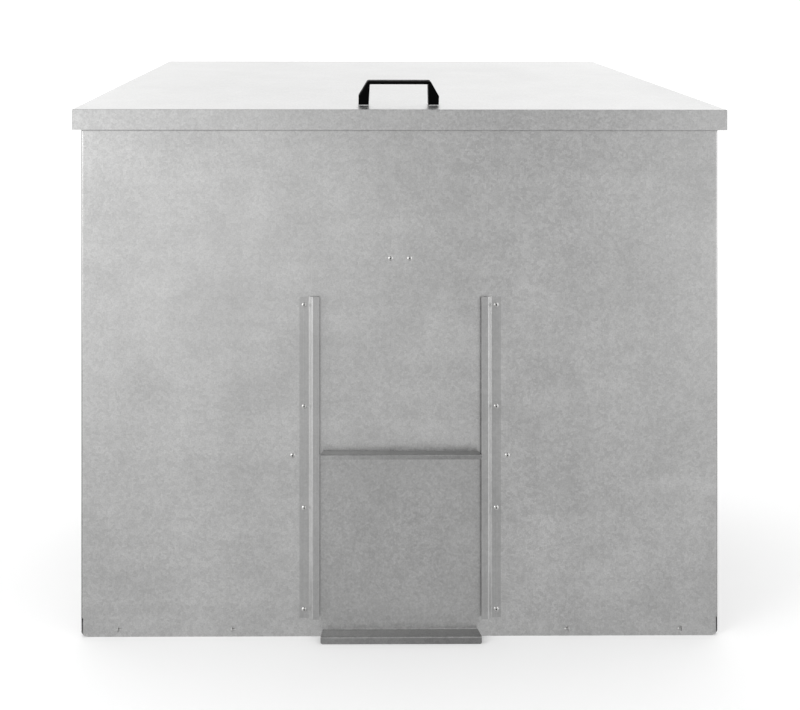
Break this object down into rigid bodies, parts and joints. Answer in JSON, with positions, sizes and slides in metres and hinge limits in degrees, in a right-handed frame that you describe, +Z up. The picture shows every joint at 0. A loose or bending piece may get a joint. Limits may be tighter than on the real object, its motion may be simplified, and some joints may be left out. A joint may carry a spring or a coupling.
{
  "type": "coal bunker",
  "caption": "Galvanised sheet-steel coal bunker with a hinged sloping lid, a black bridge handle and a hatch that slides up between riveted rails.",
  "frame": {"origin": "on the ground under the middle of the body, on the floor panel's underside", "axes": "+X to the right of someone who faces the hatch, +Y from the hatch to the back, +Z up"},
  "size_m": [1.0296, 0.7427, 1.0526],
  "materials": {
    "galvanised_walls": "galvanised, fine spangle, satin",
    "galvanised_lid": "galvanised, fine spangle, satin",
    "galvanised_hatch": "galvanised, fine spangle, satin",
    "galvanised_rails": "galvanised, satin",
    "galvanised_inner": "galvanised, satin",
    "zinc_plated_hinges": "zinc plated, satin",
    "rivet_steel": "plain metal, satin",
    "screw_steel": "zinc plated, satin",
    "black_plastic": "black, fine grain, semi-matte",
    "pad_plastic": "off-white, soft, matte"
  },
  "bodies": {
    "body": {"front_panel": "galvanised_walls", "back_panel": "galvanised_walls", "left_side_panel": "galvanised_walls", "right_side_panel": "galvanised_walls", "floor_panel": "galvanised_inner", "left_rail": "galvanised_rails", "right_rail": "galvanised_rails", "coal_baffle": "galvanised_inner", "tie_bar": "galvanised_inner", "rail_rivets": "rivet_steel", "baffle_rivets": "rivet_steel", "tie_bar_rivets": "rivet_steel", "floor_screws_front": "screw_steel", "floor_screws_back": "screw_steel", "floor_screws_left": "screw_steel", "floor_screws_right": "screw_steel", "left_corner_rivets": "rivet_steel", "right_corner_rivets": "rivet_steel", "left_hinge_lower_leaf": "zinc_plated_hinges", "right_hinge_lower_leaf": "zinc_plated_hinges", "left_hinge_pin": "zinc_plated_hinges", "right_hinge_pin": "zinc_plated_hinges", "lower_leaf_rivets": "rivet_steel"},
    "lid": {"lid_panel": "galvanised_lid", "lid_stiffener": "galvanised_inner", "lid_handle": "black_plastic", "handle_screws": "screw_steel", "handle_washers": "screw_steel", "handle_pads": "pad_plastic", "left_hinge_upper_leaf": "zinc_plated_hinges", "right_hinge_upper_leaf": "zinc_plated_hinges", "upper_leaf_rivets": "rivet_steel"},
    "hatch": {"hatch_plate": "galvanised_hatch"}
  },
  "joints": [
    {"name": "lid_hinge", "type": "hinge", "parent": "body", "child": "lid", "pos_m": [0, 0.3619, 1.02084], "axis": [-1, 0, 0], "range_deg": [0, 110]},
    {"name": "hatch_slide", "type": "slide", "parent": "body", "child": "hatch", "axis": [0, 0, 1], "range_m": [0, 0.29]}
  ]
}
